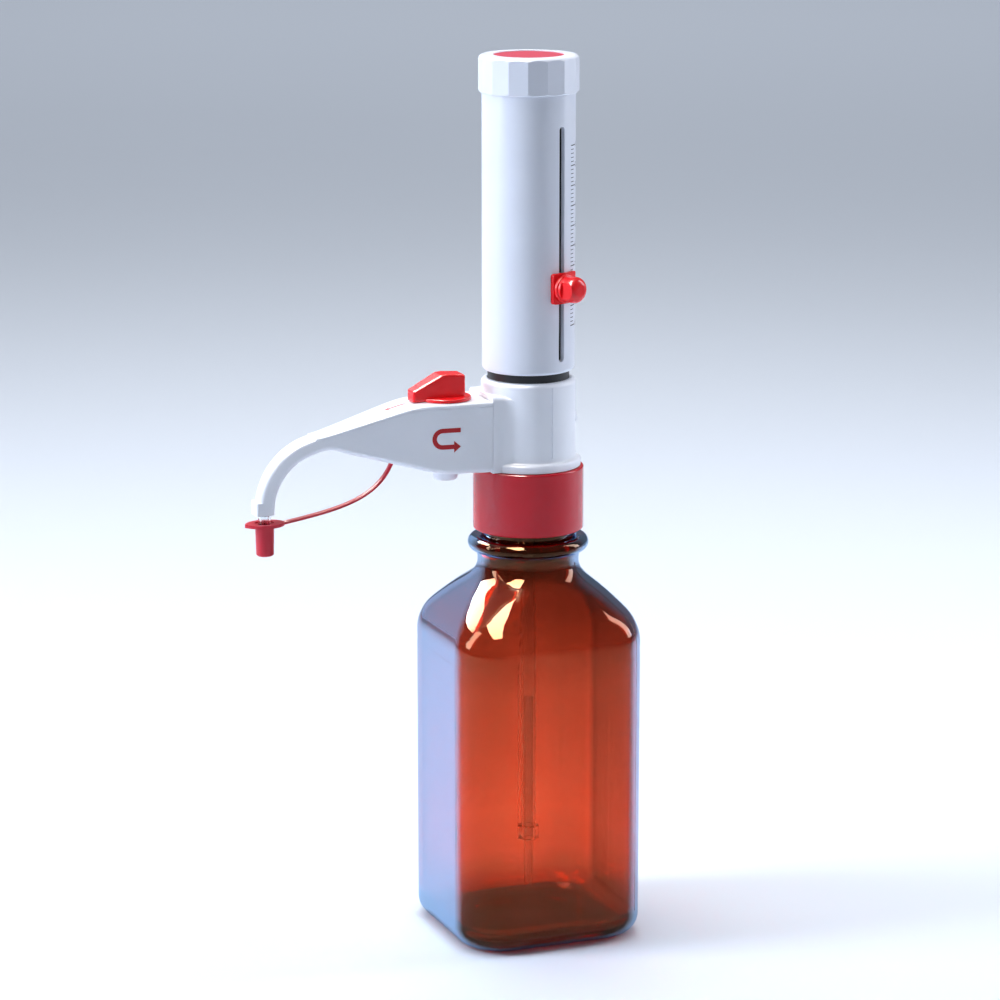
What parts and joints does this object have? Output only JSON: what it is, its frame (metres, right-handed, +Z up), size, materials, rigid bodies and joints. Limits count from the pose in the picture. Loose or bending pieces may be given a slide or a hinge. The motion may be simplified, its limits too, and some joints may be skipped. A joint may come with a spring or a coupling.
{
  "type": "bottle-top dispenser",
  "caption": "Bottle-top piston dispenser with volume slider, discharge arm, recirculation knob and capped nozzle, screwed on a square amber reagent bottle.",
  "frame": {"origin": "centre of the bottle's resting face, on the axis of the bottle, collar and piston", "axes": "+Z up along the piston's axis, -X along the discharge arm, -Y towards the side that carries the volume slot"},
  "size_m": [0.1826, 0.0906, 0.4106],
  "materials": {
    "amber_glass": "gloss, blown amber soda-lime glass",
    "clear_glass": "gloss, drawn borosilicate glass",
    "clear_tube": "gloss, extruded clear fluoropolymer",
    "white_polypropylene": "satin, moulded",
    "natural_fluoropolymer": "matt, turned",
    "collar_red": "satin, moulded",
    "control_red": "gloss, moulded",
    "strap_red": "satin, soft moulded",
    "black_jacket": "satin, moulded",
    "seal_rubber": "matt, moulded ring",
    "ball_ceramic": "polished ceramic"
  },
  "bodies": {
    "bottle": {"glass_bottle": "amber_glass"},
    "neck_fitting": {"neck_seal": "natural_fluoropolymer"},
    "collar": {"threaded_collar": "collar_red"},
    "valve_block": {"valve_block_core": "natural_fluoropolymer", "valve_block_housing": "white_polypropylene", "vent_plug": "white_polypropylene", "filling_valve_body": "natural_fluoropolymer", "suction_tube_outer": "clear_tube", "recirculation_tube": "clear_tube", "cylinder_gasket": "natural_fluoropolymer", "glass_cylinder": "clear_glass", "cylinder_guide": "natural_fluoropolymer", "cylinder_jacket": "black_jacket", "discharge_valve_body": "natural_fluoropolymer", "feed_link": "clear_tube", "return_link": "clear_tube", "arm_housing": "white_polypropylene", "arm_top_cover": "white_polypropylene", "discharge_tube": "clear_tube", "outlet_nozzle": "clear_tube", "recirculation_valve_barrel": "white_polypropylene"},
    "intake_ball": {"intake_ball": "ball_ceramic"},
    "discharge_ball": {"discharge_ball": "ball_ceramic"},
    "suction_tube": {"suction_tube_inner": "clear_tube"},
    "recirculation_valve": {"valve_lever": "control_red", "valve_spindle": "natural_fluoropolymer", "spindle_seals": "seal_rubber"},
    "nozzle_cap": {"nozzle_cap": "strap_red", "tether_strap": "strap_red"},
    "plunger": {"sleeve": "white_polypropylene", "top_cap": "white_polypropylene", "cap_disc": "strap_red", "piston_mount": "white_polypropylene", "piston_rod": "natural_fluoropolymer", "calibration_nut": "white_polypropylene", "piston_head": "natural_fluoropolymer", "piston_seals": "natural_fluoropolymer"},
    "volume_pointer": {"pointer_plate": "control_red", "pointer_nut": "white_polypropylene"},
    "thumb_screw": {"thumb_screw": "control_red"}
  },
  "joints": [
    {"name": "dispenser_lift_off", "type": "slide", "parent": "bottle", "child": "neck_fitting", "axis": [0, 0, 1], "range_m": [0, 0.21]},
    {"name": "collar_turn", "type": "hinge", "parent": "neck_fitting", "child": "collar", "pos_m": [0, 0, 0.207], "axis": [0, 0, 1], "continuous": true},
    {"name": "valve_block_swivel", "type": "hinge", "parent": "neck_fitting", "child": "valve_block", "pos_m": [0, 0, 0.217], "axis": [0, 0, 1], "continuous": true},
    {"name": "plunger_lift", "type": "slide", "parent": "valve_block", "child": "plunger", "axis": [0, 0, 1], "range_m": [0, 0.0914]},
    {"name": "pointer_slide", "type": "slide", "parent": "plunger", "child": "volume_pointer", "axis": [0, 0, 1], "range_m": [-0.0183, 0.064]},
    {"name": "thumb_screw_turn", "type": "hinge", "parent": "volume_pointer", "child": "thumb_screw", "pos_m": [0.00918, -0.02163, 0.30634], "axis": [0.3907, -0.9205, 0], "range_deg": [0, 180]},
    {"name": "recirculation_valve_turn", "type": "hinge", "parent": "valve_block", "child": "recirculation_valve", "pos_m": [-0.041, 0, 0.2553], "axis": [0, 0, 1], "range_deg": [0, 90]},
    {"name": "nozzle_cap_pull", "type": "slide", "parent": "valve_block", "child": "nozzle_cap", "axis": [0, 0, -1], "range_m": [0, 0.009], "deforming": ["tether_strap"]},
    {"name": "intake_ball_lift", "type": "slide", "parent": "valve_block", "child": "intake_ball", "axis": [0, 0, 1], "range_m": [0, 0.0015]},
    {"name": "discharge_ball_lift", "type": "slide", "parent": "valve_block", "child": "discharge_ball", "axis": [0, 0, 1], "range_m": [0, 0.0015]},
    {"name": "suction_tube_telescope", "type": "slide", "parent": "valve_block", "child": "suction_tube", "axis": [0, 0, 1], "range_m": [0, 0.022]}
  ]
}
